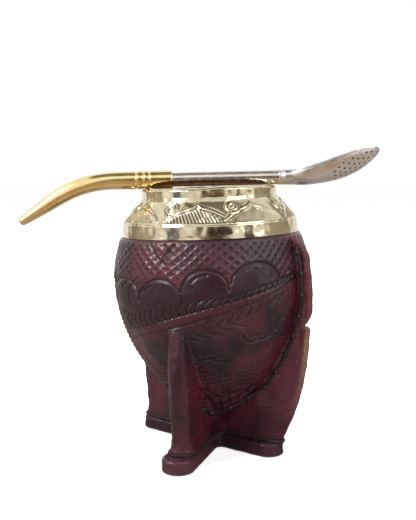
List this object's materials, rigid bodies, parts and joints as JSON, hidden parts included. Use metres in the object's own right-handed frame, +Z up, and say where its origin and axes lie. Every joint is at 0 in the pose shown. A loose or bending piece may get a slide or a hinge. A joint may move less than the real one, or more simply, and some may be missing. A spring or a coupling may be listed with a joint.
{
  "type": "leather-covered gourd cup with drinking straw",
  "caption": "Leather-covered gourd cup on four pinched leather legs and a cross-shaped sole, with an embossed metal rim ring and a metal straw with strainer lying across its mouth.",
  "frame": {"origin": "middle of the sole's lower face, under the gourd's tip", "axes": "+Z up; +X along the straw from the mouthpiece to the strainer; -Y faces the front leg's side"},
  "size_m": [0.1828, 0.1011, 0.1532],
  "materials": {
    "leather": "satin",
    "thread": "waxed",
    "welt": "rough",
    "calabash": "raw",
    "ring_metal": "polished",
    "straw_steel": "polished",
    "straw_brass": "polished"
  },
  "bodies": {
    "root": {"gourd_shell": "calabash", "leather_cover": "leather", "leg_front": "leather", "leg_left": "leather", "leg_back": "leather", "leg_seam": "leather", "sole": "leather", "welt": "welt", "seam_thread": "thread", "rim_ring": "ring_metal", "mouthpiece": "straw_brass", "straw_tube": "straw_steel", "strainer": "straw_steel"}
  },
  "joints": []
}
